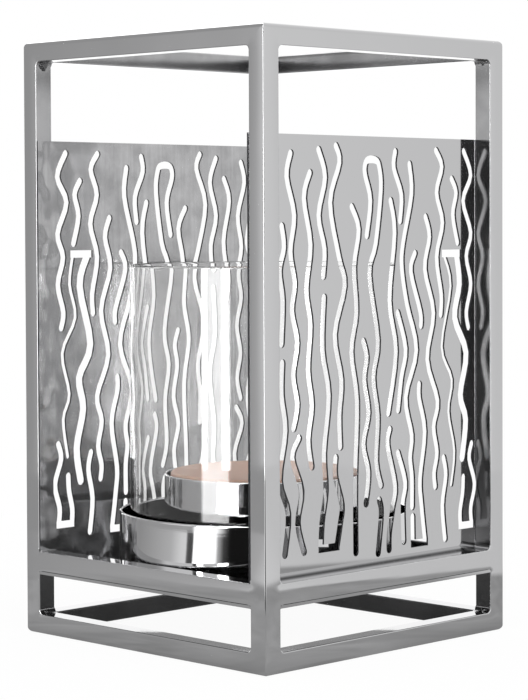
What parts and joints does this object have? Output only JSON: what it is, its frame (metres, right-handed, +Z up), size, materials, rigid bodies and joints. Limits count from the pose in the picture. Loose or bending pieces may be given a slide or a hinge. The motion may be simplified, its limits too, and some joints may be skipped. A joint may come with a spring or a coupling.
{
  "type": "candle lantern",
  "caption": "Tall open lantern of square steel bar with wavy-slotted side panels, holding a glass cylinder in a dish and a pillar candle in a cup.",
  "frame": {"origin": "centre of the square footprint, on the surface that the lantern stands on", "axes": "+Z up; -Y is the open front, so the open faces are -Y and +Y and the slotted panels are on -X and +X"},
  "size_m": [0.172, 0.172, 0.3],
  "materials": {
    "frame_steel": "polished stainless steel bar",
    "weld_steel": "dressed weld",
    "sheet_steel": "polished stainless steel sheet",
    "dish_steel": "mirror-polished stainless steel",
    "clear_glass": "clear blown glass",
    "wax": "satin candle wax",
    "wick_cotton": "braided cotton"
  },
  "bodies": {
    "frame": {"post_front_left": "frame_steel", "post_front_right": "frame_steel", "post_back_left": "frame_steel", "post_back_right": "frame_steel", "top_rail_front": "frame_steel", "top_rail_back": "frame_steel", "top_rail_left": "frame_steel", "top_rail_right": "frame_steel", "middle_rail_front": "frame_steel", "middle_rail_back": "frame_steel", "middle_rail_left": "frame_steel", "middle_rail_right": "frame_steel", "bottom_rail_front": "frame_steel", "bottom_rail_back": "frame_steel", "bottom_rail_left": "frame_steel", "bottom_rail_right": "frame_steel", "corner_welds": "weld_steel", "floor_plate": "sheet_steel", "side_panel_left": "sheet_steel", "side_panel_right": "sheet_steel"},
    "dish": {"glass_dish": "dish_steel"},
    "glass": {"glass_cylinder": "clear_glass"},
    "cup": {"candle_cup": "dish_steel"},
    "candle": {"candle": "wax", "wick": "wick_cotton"}
  },
  "joints": [
    {"name": "dish_lift", "type": "slide", "parent": "frame", "child": "dish", "axis": [0, 0, 1], "range_m": [0, 0.28]},
    {"name": "glass_lift", "type": "slide", "parent": "dish", "child": "glass", "axis": [0, 0, 1], "range_m": [0, 0.28]},
    {"name": "cup_lift", "type": "slide", "parent": "dish", "child": "cup", "axis": [0, 0, 1], "range_m": [0, 0.28]},
    {"name": "candle_lift", "type": "slide", "parent": "cup", "child": "candle", "axis": [0, 0, 1], "range_m": [0, 0.28]}
  ]
}
